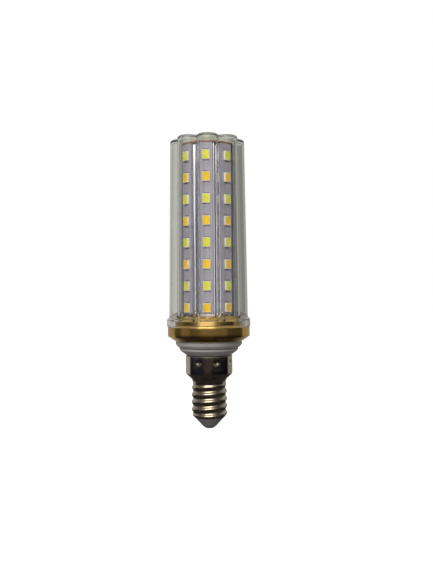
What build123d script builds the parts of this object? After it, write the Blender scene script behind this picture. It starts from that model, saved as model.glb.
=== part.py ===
from build123d import *
from math import cos, radians, sin, tan
import os

# LED light bulb with an E14 screw cap, standing cap down on its centre contact.
# Millimetres. The axis is Z and Z is nought at the foot of the centre contact.

# Cap: a rolled E14 thread under a smooth skirt
thread_pitch = 2.822
thread_crest = 6.945
thread_root = 6.145
thread_front_crest = 2.40
thread_crown = 0.80
thread_flat = 0.40
thread_fade = 1.5
thread_turns = 7
thread_lead_in = 0.75
shell_wall = 0.40
shell_bottom = 4.3
shell_foot_curl = 0.15
shoulder_foot_radius = 6.5
shoulder_ramp = 0.6
shoulder_ease = 0.26, 0.55
shoulder_start = 17.75
shoulder_angle = 50.0
shoulder_hollow = 2.6
shoulder_round = 1.5
skirt_radius = 9.15
skirt_top = 28.3
crimp_count = 8
crimp_angle = 19.0
crimp_z = 26.1
crimp_radius = 0.75
crimp_depth = 0.25
crimp_corners = 6
crimp_taper = 60
crimp_lift = 0.1

# Centre contact and insulator cone under the shell
contact_radius = 2.1
contact_height = 0.6
contact_flat = 1.05
contact_round = 1.85, 0.18
rivet_radius = 0.9
rivet_top = 6.5
insulator_radius = 5.85
insulator_plug_top = 6.0

# Neck housing: bowl above the skirt, tube inside it, spigot inside the thread
bowl_radius = 13.05
bowl_band = 33.2
bowl_fold = 12.6, 32.2
bowl_crease = 11.5, 31.1
bowl_roll = 10.7, 30.4
bowl_waist = 9.6, 29.2
bowl_foot_radius = 9.3
bowl_bottom = 28.8
bowl_top = 34.4
throat_bottom = 29.4
throat_top = 32.8
neck_wall = 1.5
tube_gap = 0.05
tube_foot = 22.6
tube_taper = 3.1
spigot_wall = 1.2
spigot_bottom = 9.0
board_seat = 22.0
neck_top = 38.0
guide_width = 3.6
guide_height = 5.5
guide_bite = 0.8
guide_gap = 0.1

# Collar: turned ring with a ledge, a rim and a stepped spigot for the cover
collar_radius = 16.0
collar_foot_radius = 13.4
collar_bevel_top = 36.1
ledge_z = 39.5
rim_radius = 14.85
rim_height = 0.8
spigot_radius = 13.2
spigot_top = 43.2
spigot_round = 1.2
spigot_round_mid = 0.36
collar_bore = 12.4
collar_roof = 1.8
collar_hole = 5.5

# Cover: eight round lobes that taper upwards, over a round flange
lobe_count = 8
lobe_length = 160
lobe_seam = 150
lobe_step = 360 / lobe_count
cover_turn = 1.5
lobe_peak = 15.3
lobe_radius = 4.2
lobe_valley = 12.15
cover_draft = 0.74
cover_wall = 0.8
cover_roof = 1.0
cover_edge = 0.6
cover_top = 112.1
flange_radius = 16.25
flange_wall = 1.3
flange_top = 43.0
flange_corner = (0, 0.8), (0.25, 0.2), (0.8, 0)
flange_ceiling = 42.0
ceiling_corner = (0, 0.6), (0.6, 0)
lobe_foot = 41.1
cavity_foot = 40.6
opening_below = 1.0
lobe_base = 45.5
shelf_rise = 2.6
shelf_inset = 1.2

# LED core: grooved column, strip boards and LED packages on every side
core_turn = -2.0
column_top = 109.0
column_bore = 6.3
land_apothem = 9.75
channel_half = 2.6
rail_half = 3.0
rail_height = 0.25
groove_depth = 0.9
strip_width = 5.1
strip_thick = 1.0
strip_bottom = 44.5
package_width = 2.8
package_length = 3.5
package_depth = 0.75
package_pitch = 8.2
packages_per_strip = 8
lowest_package = 47.0
window_width = 2.2
window_length = 2.9
window_depth = 0.05

# Top board: a round board notched for the valleys of the cover
top_board_radius = 10.8
top_board_thick = 0.8
notch_gap = 0.15
notch_width = 1.8
top_ring_radius = 6.4

# Driver in the neck
board_width = 12.4
board_thick = 1.2
board_top = 40.0
bridge_size = 4.7, 1.6, 3.9
bridge_z = 25.0
chip_size = 4.9, 1.5, 3.9
chip_z = 29.6
bulk_z = 31.2
output_x = 0.6
output_z = 32.0
inductor_z = 22.8
inductor_length = 6.0
can_bevel = 0.4
fuse_bottom = 12.0
fuse_top = 18.0
fuse_radius = 1.4
bulk_radius = 4.0
bulk_length = 8.5
output_radius = 3.1
output_length = 7.5
inductor_radius = 2.4
wire_radius = 0.35
lead_radius = 0.4
lead_spacing = 1.5
neutral_x = 3.6
neutral_bend = 8.4
neutral_run = 7.5
neutral_foot = 6.4

os.makedirs("parts", exist_ok=True)


def save(shape, name):
    """Write one sub-part to its own file."""
    export_step(shape, f"parts/{name}.step")


def turned(points):
    """A solid of revolution about the axis from a closed list of (radius, z) corners."""
    return revolve(Plane.XZ * make_face(Polyline(*points, close=True)), Axis.Z)


# Screw shell


def shoulder_outline():
    """Corners of the shoulder, from the foot above the thread out to the skirt."""
    sweep_in = shoulder_hollow * (1 - cos(radians(shoulder_angle)))
    rise_in = shoulder_hollow * sin(radians(shoulder_angle))
    sweep_out = shoulder_round * (1 - cos(radians(shoulder_angle)))
    rise_out = shoulder_round * sin(radians(shoulder_angle))
    run = skirt_radius - shoulder_foot_radius - sweep_in - sweep_out
    slope_foot = (shoulder_foot_radius + sweep_in, shoulder_start + rise_in)
    slope_head = (slope_foot[0] + run, slope_foot[1] + run / tan(radians(shoulder_angle)))
    return [
        (shoulder_foot_radius, shoulder_start),
        (
            shoulder_foot_radius + shoulder_ease[0] * sweep_in,
            shoulder_start + shoulder_ease[1] * rise_in,
        ),
        slope_foot,
        slope_head,
        (skirt_radius, slope_head[1] + rise_out),
    ]


def thread_ridge():
    """One turn after another of the rolled thread, faded out at both ends."""
    half_width = (thread_pitch - thread_flat) / 2
    sunk = thread_root - shell_wall / 2
    side = [
        (thread_crest, thread_crown / 2),
        (thread_root, half_width),
        (sunk, half_width),
    ]
    other = [(radius, -height) for radius, height in reversed(side)]
    start = thread_front_crest - thread_lead_in * thread_pitch
    helix = Pos(0, 0, start) * Helix(thread_pitch, thread_pitch * thread_turns, thread_root)
    profile = Plane.XZ * make_face(Polyline(*side, *other, close=True))
    ridge = sweep(Pos(0, 0, start) * profile, path=helix, is_frenet=True)
    bore = thread_root - shell_wall
    reach = thread_crest + thread_flat
    limit = turned(
        [
            (bore, shell_bottom),
            (thread_root - shell_foot_curl, shell_bottom),
            (reach, shell_bottom + thread_fade),
            (reach, shoulder_start - thread_fade),
            (thread_root, shoulder_start),
            (bore, shoulder_start),
        ]
    )
    return ridge & limit


def screw_shell():
    """Sheet shell: rolled bottom edge, thread, shoulder and skirt with punched crimps."""
    outer = shoulder_outline()
    bore = thread_root - shell_wall
    inner_skirt = skirt_radius - shell_wall
    slope_foot, slope_head = outer[2], outer[3]
    lean = radians(shoulder_angle)
    shell = turned(
        [
            *outer,
            (skirt_radius, skirt_top),
            (inner_skirt, skirt_top),
            (inner_skirt, slope_head[1] + shell_wall),
            (slope_foot[0] - shell_wall * cos(lean), slope_foot[1] + shell_wall * sin(lean)),
            (bore, shoulder_start),
            (bore, shell_bottom),
            (thread_root - shell_foot_curl, shell_bottom),
            (thread_root, shell_bottom + 2 * shell_foot_curl),
            (thread_root, shoulder_start - shoulder_ramp),
        ]
    )
    shell += thread_ridge()
    punch_face = RegularPolygon(crimp_radius + crimp_lift, crimp_corners)
    punch = extrude(punch_face, crimp_depth + crimp_lift, taper=crimp_taper)
    for index in range(crimp_count):
        angle = crimp_angle - 90 + index * 360 / crimp_count
        place = Plane(origin=(skirt_radius + crimp_lift, 0, crimp_z), z_dir=(-1, 0, 0))
        shell -= Rot(0, 0, angle) * (place * punch)
    return shell


save(screw_shell(), "screw_shell")

# Insulator and contact


def cap_insulator():
    """Moulded cone that closes the shell, with a plug above and a hole for the contact."""
    plug = thread_root - shell_wall - tube_gap
    return turned(
        [
            (rivet_radius, contact_height),
            (contact_radius, contact_height),
            (insulator_radius, shell_bottom),
            (plug, shell_bottom),
            (plug, insulator_plug_top),
            (rivet_radius, insulator_plug_top),
        ]
    )


def centre_contact():
    """Pressed contact with a rounded face, riveted through the insulator."""
    return turned(
        [
            (0, 0),
            (contact_flat, 0),
            contact_round,
            (contact_radius, contact_height),
            (rivet_radius, contact_height),
            (rivet_radius, rivet_top),
            (0, rivet_top),
        ]
    )


save(cap_insulator(), "cap_insulator")
save(centre_contact(), "centre_contact")

# Neck housing


def neck_housing():
    """White moulding: spigot in the thread, tube in the skirt, bowl, spigot in the collar."""
    tube = skirt_radius - shell_wall - tube_gap
    spigot = thread_root - shell_wall - tube_gap
    spigot_bore = spigot - spigot_wall
    tube_bore = tube - neck_wall
    upper = collar_bore - tube_gap
    bowl_bore = upper - neck_wall
    housing = turned(
        [
            (bowl_radius, bowl_top),
            (bowl_radius, bowl_band),
            bowl_fold,
            bowl_crease,
            bowl_roll,
            bowl_waist,
            (bowl_foot_radius, bowl_bottom),
            (tube, bowl_bottom),
            (tube, tube_foot),
            (spigot, tube_foot - tube_taper),
            (spigot, spigot_bottom),
            (spigot_bore, spigot_bottom),
            (spigot_bore, board_seat),
            (tube_bore, board_seat),
            (tube_bore, throat_bottom),
            (bowl_bore, throat_top),
            (bowl_bore, neck_top),
            (upper, neck_top),
            (upper, bowl_top),
        ]
    )
    on_seat = (Align.CENTER, Align.CENTER, Align.MIN)
    width = 2 * tube_bore + neck_wall / 2
    guides = Box(width, guide_width, guide_height, align=on_seat)
    guides -= Box(board_width - 2 * guide_bite, guide_width, guide_height, align=on_seat)
    slot = 2 * guide_gap
    guides -= Box(board_width + slot, board_thick + slot, guide_height, align=on_seat)
    return housing + Pos(0, 0, board_seat) * guides


save(neck_housing(), "neck_housing")

# Collar


def collar():
    """Turned ring: bevelled foot, plain band, ledge and rim, then the spigot in the cover."""
    bore_top = spigot_top - collar_roof
    band = [
        (collar_bore, bowl_top),
        (collar_foot_radius, bowl_top),
        (collar_radius, collar_bevel_top),
        (collar_radius, ledge_z),
        (rim_radius, ledge_z),
        (rim_radius, ledge_z + rim_height),
        (spigot_radius, ledge_z + rim_height),
        (spigot_radius, spigot_top - spigot_round),
        (spigot_radius - spigot_round_mid, spigot_top - spigot_round_mid),
        (spigot_radius - spigot_round, spigot_top),
        (collar_hole, spigot_top),
        (collar_hole, bore_top),
        (collar_bore, bore_top),
    ]
    return turned(band)


save(collar(), "collar")

# Cover


def draft_at(z):
    """How far the mould's draft has moved the wall inwards at a height."""
    return (z - lobe_base) * tan(radians(cover_draft))


def lobed_body(inset, bottom, top):
    """Eight lobes that lean in with the mould's draft, round a core with a flat at each valley."""
    apothem = lobe_valley - inset - draft_at(bottom)
    flats = RegularPolygon(apothem, lobe_count, major_radius=False)
    body = Pos(0, 0, bottom) * extrude(Rot(0, 0, cover_turn) * flats, top - bottom, taper=cover_draft)
    lobe = Rot(0, 0, lobe_seam) * Cylinder(lobe_radius - inset, lobe_length)
    lobe = Pos(lobe_peak - lobe_radius, 0, lobe_base) * Rot(0, -cover_draft, 0) * lobe
    for index in range(lobe_count):
        body += Rot(0, 0, cover_turn + index * lobe_step) * lobe
    across = 3 * lobe_peak
    return body & Pos(0, 0, (bottom + top) / 2) * Box(across, across, top - bottom)


def flange_body(inset, corner, bottom, top):
    """Round flange under a sloping shelf that runs in to the valleys."""
    radius = flange_radius - inset
    return turned(
        [
            (0, bottom),
            (radius, bottom),
            *[(radius - away, top - down) for away, down in corner],
            (lobe_valley - shelf_inset, top + shelf_rise),
            (0, top + shelf_rise),
        ]
    )


def clear_cover():
    """One clear moulding with an even wall, open only at the flange."""
    outside = lobed_body(0, lobe_foot, cover_top)
    outside = chamfer(outside.edges().group_by(Axis.Z)[-1], cover_edge)
    outside += flange_body(0, flange_corner, ledge_z, flange_top)
    inside = lobed_body(cover_wall, cavity_foot, cover_top - cover_roof)
    inside += flange_body(flange_wall, ceiling_corner, ledge_z - opening_below, flange_ceiling)
    return outside - inside


save(clear_cover(), "clear_cover")

# LED core


def led_column():
    """Extruded column: eight channels for the strips, a groove at every corner."""
    half = radians(lobe_step / 2)
    crest = land_apothem + rail_height
    corner = land_apothem / cos(half) - groove_depth
    outline = []
    for index in range(lobe_count):
        turn = core_turn - 90 + index * lobe_step
        side = [
            (crest, -rail_half),
            (crest, -channel_half),
            (land_apothem, -channel_half),
            (land_apothem, channel_half),
            (crest, channel_half),
            (crest, rail_half),
            (corner * cos(half), corner * sin(half)),
        ]
        outline += [Vector(x, y).rotate(Axis.Z, turn) for x, y in side]
    profile = make_face(Polyline(*outline, close=True)) - Circle(column_bore)
    return Pos(0, 0, spigot_top) * extrude(profile, column_top - spigot_top)


save(led_column(), "led_column")

strip_face = land_apothem + strip_thick


def package(face):
    """White LED body that stands on the given radius and faces outwards."""
    return Pos(face + package_depth / 2, 0, 0) * Box(package_depth, package_width, package_length)


def phosphor(face):
    """The phosphor in an LED's window, framed by the white rim."""
    return Pos(face + package_depth + window_depth / 2, 0, 0) * Box(window_depth, window_width, window_length)


def every_second(shape, first, step):
    """Copies of a shape at every second package height, from the lowest place upwards."""
    count = range(first, packages_per_strip, step)
    return [Pos(0, 0, lowest_package + package_pitch * place) * shape for place in count]


for strip in range(lobe_count):
    turn = Rot(0, 0, core_turn - 90 + strip * lobe_step)
    length = column_top - strip_bottom
    board = Pos(land_apothem + strip_thick / 2, 0, strip_bottom + length / 2) * Box(
        strip_thick, strip_width, length
    )
    number = strip + 1
    save(turn * board, f"strip_board_{number}")
    groups = {
        "led_packages": every_second(package(strip_face), 0, 1),
        "cool_phosphor": every_second(phosphor(strip_face), 1, 2),
        "warm_phosphor": every_second(phosphor(strip_face), 0, 2),
    }
    for name, pieces in groups.items():
        save(turn * Compound(children=pieces), f"{name}_{number}")

# Top board


def top_board():
    """Round board on the ends of column and strips, notched clear of the cover's valleys."""
    valley = lobe_valley - draft_at(column_top + top_board_thick) - cover_wall - notch_gap
    face = Circle(top_board_radius)
    for index in range(lobe_count):
        angle = cover_turn + (index + 0.5) * lobe_step
        face -= Rot(0, 0, angle) * Pos(valley + notch_width / 2, 0) * Rectangle(notch_width, notch_width)
    return Pos(0, 0, column_top) * extrude(face, top_board_thick)


save(top_board(), "top_board")

top_face = column_top + top_board_thick


def top_ring(shape, first, step):
    """Copies of a shape laid on the top board, in a ring."""
    laid = Pos(top_ring_radius, 0, 0) * Rot(0, -90, 0) * shape
    return [Rot(0, 0, core_turn - 90 + index * lobe_step) * laid for index in range(first, lobe_count, step)]


save(Compound(children=top_ring(package(top_face), 0, 1)), "top_led_packages")
save(Compound(children=top_ring(phosphor(top_face), 0, 2)), "top_cool_phosphor")
save(Compound(children=top_ring(phosphor(top_face), 1, 2)), "top_warm_phosphor")

# Driver


def can(radius, length):
    """A wound part in its sleeve, standing on its base, with a bevelled top edge."""
    shoulder = length - can_bevel
    return turned([(0, 0), (radius, 0), (radius, shoulder), (radius - can_bevel, length), (0, length)])


def fuse_resistor():
    """Axial fuse resistor, its leads running from the contact up to the board."""
    return turned(
        [
            (0, rivet_top),
            (wire_radius, rivet_top),
            (wire_radius, fuse_bottom),
            (fuse_radius, fuse_bottom),
            (fuse_radius, fuse_top),
            (wire_radius, fuse_top),
            (wire_radius, board_seat),
            (0, board_seat),
        ]
    )


def neutral_lead():
    """Lead from the board down past the neck's spigot and out to the wall of the shell."""
    outer = thread_root - shell_wall - wire_radius - tube_gap / 2
    top = (neutral_x, 0, board_seat)
    route = Polyline(top, (neutral_x, 0, neutral_bend), (outer, 0, neutral_run), (outer, 0, neutral_foot))
    end = Plane(origin=top, z_dir=(0, 0, -1)) * Circle(wire_radius)
    return sweep(end, path=route, transition=Transition.RIGHT)


def on_board(side, x, z, shape, thick):
    """A part whose flat face or round side touches the board, in front (-1) or behind (1)."""
    return Pos(x, side * (board_thick + thick) / 2, z) * shape


bulk = on_board(-1, 0, bulk_z, can(bulk_radius, bulk_length), 2 * bulk_radius)
output = on_board(1, output_x, output_z, can(output_radius, output_length), 2 * output_radius)
inductor = on_board(-1, 0, inductor_z, can(inductor_radius, inductor_length), 2 * inductor_radius)
board_height = board_top - board_seat
parts = {
    "driver_board": Pos(0, 0, board_seat + board_height / 2) * Box(board_width, board_thick, board_height),
    "bulk_capacitor": bulk,
    "output_capacitor": output,
    "inductor": inductor,
    "bridge_rectifier": on_board(1, 0, bridge_z, Box(*bridge_size), bridge_size[1]),
    "driver_chip": on_board(1, 0, chip_z, Box(*chip_size), chip_size[1]),
    "fuse_resistor": fuse_resistor(),
    "neutral_lead": neutral_lead(),
}
for name, shape in parts.items():
    save(shape, name)

lead_length = column_top - board_top
lead = Pos(0, 0, board_top + lead_length / 2) * Cylinder(lead_radius, lead_length)
save(Compound(children=[Pos(side * lead_spacing, 0, 0) * lead for side in (-1, 1)]), "output_leads")
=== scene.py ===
"""Looks of a clear-covered LED bulb with an E14 screw cap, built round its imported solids."""

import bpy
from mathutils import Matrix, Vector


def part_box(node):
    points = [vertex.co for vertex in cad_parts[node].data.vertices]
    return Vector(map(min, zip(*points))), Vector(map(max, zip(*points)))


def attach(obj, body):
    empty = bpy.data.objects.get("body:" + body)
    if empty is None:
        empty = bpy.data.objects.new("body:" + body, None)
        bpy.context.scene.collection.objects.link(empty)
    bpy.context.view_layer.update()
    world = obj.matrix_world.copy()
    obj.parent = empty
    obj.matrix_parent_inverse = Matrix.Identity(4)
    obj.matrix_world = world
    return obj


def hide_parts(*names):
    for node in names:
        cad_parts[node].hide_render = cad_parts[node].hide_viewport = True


bl_info = {
    "name": "LED corn bulb",
    "version": (1, 0, 0),
    "blender": (4, 5, 0),
    "location": "View3D > Sidebar > Bulb",
    "description": "Builds the visible pieces, finishes, lamps and camera of an LED bulb",
    "category": "Object",
}

from functools import partial
from math import atan2, cos, pi, radians, sin, sqrt, tan

import bmesh
import bpy
import numpy as np
from bpy.props import FloatProperty, FloatVectorProperty, IntProperty, PointerProperty
from mathutils import Matrix, Vector

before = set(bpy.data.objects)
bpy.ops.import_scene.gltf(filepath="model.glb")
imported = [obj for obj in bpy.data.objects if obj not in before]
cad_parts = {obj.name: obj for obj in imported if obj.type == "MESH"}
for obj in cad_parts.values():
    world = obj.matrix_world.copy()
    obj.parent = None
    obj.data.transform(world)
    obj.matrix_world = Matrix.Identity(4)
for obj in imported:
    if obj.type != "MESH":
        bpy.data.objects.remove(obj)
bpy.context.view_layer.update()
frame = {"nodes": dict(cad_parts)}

MM = 0.001
COVER_LOW, COVER_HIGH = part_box("clear_cover")
CAP_LOW, CAP_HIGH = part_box("screw_shell")
CORE_LOW, CORE_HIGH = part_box("led_column")
LOBES = 8
SECTOR = 2 * pi / LOBES
BLACK = (0, 0, 0, 1)
WHITE = (1, 1, 1, 1)


# Colours and nodes


def from_hex(code):
    """A colour written as sRGB hex, as linear red, green, blue and alpha."""
    parts = [int(code[i : i + 2], 16) / 255 for i in (0, 2, 4)]
    linear = [p / 12.92 if p <= 0.04045 else ((p + 0.055) / 1.055) ** 2.4 for p in parts]
    return (*linear, 1.0)


def tinted(colour, factors, lift=0.0):
    """A colour times one factor or three, with a little white added, and never past white."""
    factors = np.broadcast_to(factors, 3)
    return (*(min(c * k + lift, 1.0) for c, k in zip(colour[:3], factors)), 1.0)


def add_node(tree, kind, inputs=None, **settings):
    """One node with its settings; a socket in inputs is linked, and anything else is set."""
    node = tree.nodes.new(kind)
    for name, value in settings.items():
        setattr(node, name, value)
    for key, value in (inputs or {}).items():
        if isinstance(value, bpy.types.NodeSocket):
            tree.links.new(value, node.inputs[key])
        else:
            node.inputs[key].default_value = value
    return node


def empty_tree(owner):
    owner.use_nodes = True
    owner.node_tree.nodes.clear()
    return owner.node_tree


def calculate(tree, operation, first, second=0.0):
    return add_node(tree, "ShaderNodeMath", {0: first, 1: second}, operation=operation).outputs[0]


def split(tree, vector):
    """The x, y and z of a vector."""
    return add_node(tree, "ShaderNodeSeparateXYZ", {0: vector}).outputs


def place_on(tree, stretch=(1, 1, 1)):
    """Object coordinates in metres, stretched for a pattern that runs one way."""
    source = add_node(tree, "ShaderNodeTexCoord").outputs["Object"]
    return add_node(tree, "ShaderNodeMapping", {0: source, "Scale": stretch}).outputs[0]


def grain(tree, coordinates, size_mm, detail=3.0, roughness=0.5):
    """Noise whose lumps are about size_mm across."""
    inputs = {0: coordinates, "Scale": 1 / (size_mm * MM), "Detail": detail, "Roughness": roughness}
    return add_node(tree, "ShaderNodeTexNoise", inputs).outputs[0]


def spread(tree, value, low, high, start=0.0, end=1.0):
    """A value moved from the range low to high to the range start to end."""
    inputs = {"Value": value, "From Min": low, "From Max": high, "To Min": start, "To Max": end}
    return add_node(tree, "ShaderNodeMapRange", inputs).outputs[0]


def blend(tree, share, first, second, mode="MIX"):
    """Two colours mixed by a share."""
    inputs = {0: share, 6: first, 7: second}
    node = add_node(tree, "ShaderNodeMix", inputs, data_type="RGBA", blend_type=mode)
    return node.outputs[2]


def bump(tree, height, depth_mm, strength, under=None):
    """A bump of depth_mm, over another normal where one is given."""
    inputs = {"Height": height, "Distance": depth_mm * MM, "Strength": strength}
    if under is not None:
        inputs["Normal"] = under
    return add_node(tree, "ShaderNodeBump", inputs).outputs[0]


class Finish:
    """A new material with a Principled shader, and the steps that the finishes share."""

    def __init__(self, name, **values):
        self.material = bpy.data.materials.new(name)
        self.tree = empty_tree(self.material)
        self.shader = add_node(self.tree, "ShaderNodeBsdfPrincipled", values)
        surface = {"Surface": self.shader.outputs[0]}
        self.output = add_node(self.tree, "ShaderNodeOutputMaterial", surface)

    def feed(self, name, source):
        self.tree.links.new(source, self.shader.inputs[name])

    def grain(self, size_mm, detail=3.0, stretch=(1, 1, 1), roughness=0.5):
        return grain(self.tree, place_on(self.tree, stretch), size_mm, detail, roughness)

    def mix(self, pattern, low, high, first, second):
        """From the first colour to the second as the pattern goes from low to high."""
        return blend(self.tree, spread(self.tree, pattern, low, high), first, second)

    def colour(self, *mix):
        self.feed("Base Color", self.mix(*mix))

    def roughness(self, pattern, least, most):
        self.feed("Roughness", spread(self.tree, pattern, 0.3, 0.7, least, most))

    def relief(self, pattern, depth_mm, strength, under=None):
        self.feed("Normal", bump(self.tree, pattern, depth_mm, strength, under))


# Sizes and colours that a user may change


def setting(kind, name, description, default, **more):
    return kind(name=name, description=description, default=default, **more)


def a_colour(name, what, code):
    more = {"subtype": "COLOR", "size": 4, "min": 0, "max": 1}
    return setting(FloatVectorProperty, name, "Colour of the " + what, from_hex(code), **more)


def a_length(name, description, millimetres):
    more = {"subtype": "DISTANCE", "unit": "LENGTH", "min": 0, "precision": 5}
    return setting(FloatProperty, name, description, millimetres * MM, **more)


def an_angle(name, description, degrees):
    more = {"subtype": "ANGLE", "unit": "ROTATION"}
    return setting(FloatProperty, name, description, radians(degrees), **more)


class CoverSettings(bpy.types.PropertyGroup):
    """Sizes of the clear cover."""

    lobe_radius: a_length("Lobe radius", "Radius of each lobe", 4.2)
    lobe_peak: a_length("Lobe peak", "From the axis to a lobe's outside at its foot", 15.3)
    valley_foot: a_length("Valley at the foot", "Radius of the valleys at the foot", 0.8)
    valley_top: a_length("Valley at the top", "Radius of the valleys at the top", 0.3)
    wall: a_length("Wall", "Thickness of the moulded wall", 0.8)
    edge: a_length("Top edge", "Radius of the edge round the top", 0.9)
    draft: an_angle("Draft", "Angle at which the lobes lean in", 0.74)
    turn: an_angle("Turn", "How far the cover is turned about its axis", 1.5)
    tint: a_colour("Plastic", "clear polycarbonate", "EFF0ED")


class MetalSettings(bpy.types.PropertyGroup):
    """Sizes and colours of collar, neck and cap."""

    gold: a_colour("Collar", "gold anodising", "D2AE66")
    neck: a_colour("Neck", "moulded neck", "C2BEB9")
    nickel: a_colour("Shell", "nickel plating", "C6BFB2")
    insulator: a_colour("Insulator", "moulded insulator", "A29D96")
    contact: a_colour("Contact", "tinned contact", "A9A49B")
    pitch: a_length("Thread pitch", "Distance from crest to crest", 2.822)
    crest: a_length("Thread crest", "Radius of the thread's crest", 6.945)
    root: a_length("Thread root", "Radius of the thread's root", 6.35)
    shoulder: a_length("Shoulder foot", "Radius of the shell at the shoulder's foot", 6.5)
    wall: a_length("Sheet", "Thickness of the sheet", 0.4)
    crimps: setting(IntProperty, "Crimps", "Number of punched crimps", 8, min=0)
    crimp_depth: a_length("Crimp depth", "Depth of each crimp", 0.32)


class CoreSettings(bpy.types.PropertyGroup):
    """Sizes and colours of column, strips and LEDs."""

    per_strip: setting(IntProperty, "LEDs on a strip", "Number of LEDs on each strip", 8, min=1)
    pitch: a_length("LED pitch", "Distance between neighbouring LEDs", 8.2)
    lowest: a_length("Lowest LED", "Height of the lowest LED's middle", 47.0)
    face: a_length("Strip face", "Distance from the axis to the strips' faces", 10.75)
    wobble: an_angle("Placing error", "Largest angle at which an LED sits askew", 1.6)
    seed: setting(IntProperty, "Seed", "Seed of the placing errors", 7)
    turn: an_angle("Turn", "Direction in which the first strip faces", -92)
    aluminium: a_colour("Column", "extruded aluminium", "E2E2F6")
    mask: a_colour("Strip", "strips' mask", "A29FB0")
    frame: a_colour("LED frame", "LEDs' moulded frame", "F2EFE6")
    cool: a_colour("Cool phosphor", "cool white LEDs, unlit", "E4E740")
    warm: a_colour("Warm phosphor", "warm white LEDs, unlit", "FFCD00")


class StageSettings(bpy.types.PropertyGroup):
    """Lamps and camera."""

    distance: a_length("Camera distance", "From the camera to the bulb's axis", 253)
    height: a_length("Camera height", "Height of the camera", 51.9)
    aside: a_length("Camera aside", "How far the camera stands to the side", 3.13)
    lens: setting(FloatProperty, "Lens", "Focal length in millimetres", 40.37, min=1)
    roll: an_angle("Roll", "How far the camera is rolled", -0.5)
    fill: setting(FloatProperty, "Fill", "Light from above on all sides", 0.5, min=0)
    key: setting(FloatProperty, "Key lamp", "Power of the key lamp in watts", 2.0, min=0)


class BulbSettings(bpy.types.PropertyGroup):
    """All the bulb's settings."""

    cover: PointerProperty(type=CoverSettings, name="Cover", description="The clear cover")
    metal: PointerProperty(type=MetalSettings, name="Metal", description="Collar, neck and cap")
    core: PointerProperty(type=CoreSettings, name="Core", description="Column, strips and LEDs")
    stage: PointerProperty(type=StageSettings, name="Stage", description="Lamps and camera")


# Mesh helpers


def linked(name, data):
    """A new object in the scene."""
    obj = bpy.data.objects.new(name, data)
    bpy.context.scene.collection.objects.link(obj)
    return obj


def piece(name, points, faces, material, smooth_angle=None):
    """A mesh object with its faces turned outwards."""
    mesh = bpy.data.meshes.new(name)
    mesh.from_pydata(points, [], faces)
    mesh.materials.append(material)
    shape = bmesh.new()
    shape.from_mesh(mesh)
    bmesh.ops.remove_doubles(shape, verts=shape.verts, dist=1e-7)
    bmesh.ops.recalc_face_normals(shape, faces=shape.faces)
    shape.to_mesh(mesh)
    shape.free()
    if smooth_angle is not None:
        mesh.shade_smooth()
        mesh.set_sharp_from_angle(angle=radians(smooth_angle))
    return linked(name, mesh)


def skin(rows, loop=False):
    """Faces between rows of points that close on themselves; a row of one point is a pole."""
    points, faces, starts = [], [], []
    for row in rows:
        starts.append(len(points))
        points.extend(tuple(map(float, p)) for p in row)
    pairs = list(zip(range(len(rows) - 1), range(1, len(rows))))
    if loop:
        pairs.append((len(rows) - 1, 0))
    for a, b in pairs:
        n, m = len(rows[a]), len(rows[b])
        count = max(n, m)
        for i in range(count):
            j = (i + 1) % count
            low = [starts[a]] if n == 1 else [starts[a] + i, starts[a] + j]
            high = [starts[b]] if m == 1 else [starts[b] + j, starts[b] + i]
            faces.append(low + high)
    return points, faces


def at_height(outline, z):
    """Points (x, y) with one z, or with one for each."""
    return np.column_stack([outline, np.broadcast_to(z, len(outline))])


def swung(points, angle):
    """Points (x, y) turned about the axis."""
    c, s = cos(angle), sin(angle)
    return [(x * c - y * s, x * s + y * c) for x, y in points]


def ring(radius, z, segments):
    """A circle of points in metres, or the pole itself where the radius is nothing."""
    if radius <= 1e-9:
        return [(0.0, 0.0, z)]
    angles = np.arange(segments) * 2 * pi / segments
    return at_height(np.column_stack([radius * np.cos(angles), radius * np.sin(angles)]), z)


def turned(name, outline, material, segments, loop=True):
    """A turned piece from its outline of (radius, z) in millimetres."""
    points, faces = skin([ring(r * MM, z * MM, segments) for r, z in outline], loop)
    return piece(name, points, faces, material, 35)


def rounded(corners, steps=5):
    """An outline whose corners (radius, z, round) are each replaced by an arc that fits them."""
    out = []
    count = len(corners)
    # The part of a side that an arc may take, so that two arcs never meet
    most = 0.48
    for i, (x, z, size) in enumerate(corners):
        if size <= 0:
            out.append((x, z))
            continue
        here = Vector((x, z))
        before = Vector(corners[i - 1][:2]) - here
        after = Vector(corners[(i + 1) % count][:2]) - here
        half = before.angle(after) / 2
        reach = min(size / tan(half), before.length * most, after.length * most)
        start, end = here + before.normalized() * reach, here + after.normalized() * reach
        for k in range(steps + 1):
            t = k / steps
            out.append(tuple((1 - t) ** 2 * start + 2 * t * (1 - t) * here + t * t * end))
    return out


def settle(obj, slot, *nodes):
    """Parents a finished piece to the root body and hides the imported nodes that it replaces."""
    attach(obj, "root")
    if nodes:
        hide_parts(*nodes)
    return obj


# Cover

# The lobes' foot and rise, where the wall meets the shelf, and where its plain part ends
LOBE_FOOT, LOBE_RISE = 45.5 * MM, 66.6 * MM
SHELF_MEETS, WALL_ENDS = 46.6 * MM, 47.6 * MM
SHELF_SLOPE = 0.578
SHELF_BLEND, LEAST_RISE = 0.9 * MM, 0.05 * MM
ROOF = 1.0 * MM
# Steps from the middle of the top outwards, round its edge, down the wall and over the shelf
CROWN_SHARES, CROWN_REACH = (0.25, 0.5, 0.75, 0.93), 15 * MM
EDGE_STEPS, WALL_ROWS, BLEND_STEPS = 6, 12, 5
LOBE_STEPS, VALLEY_STEPS = 22, 7
DULL_FROM, DULL_TO = 110.4 * MM, 111.6 * MM
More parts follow.
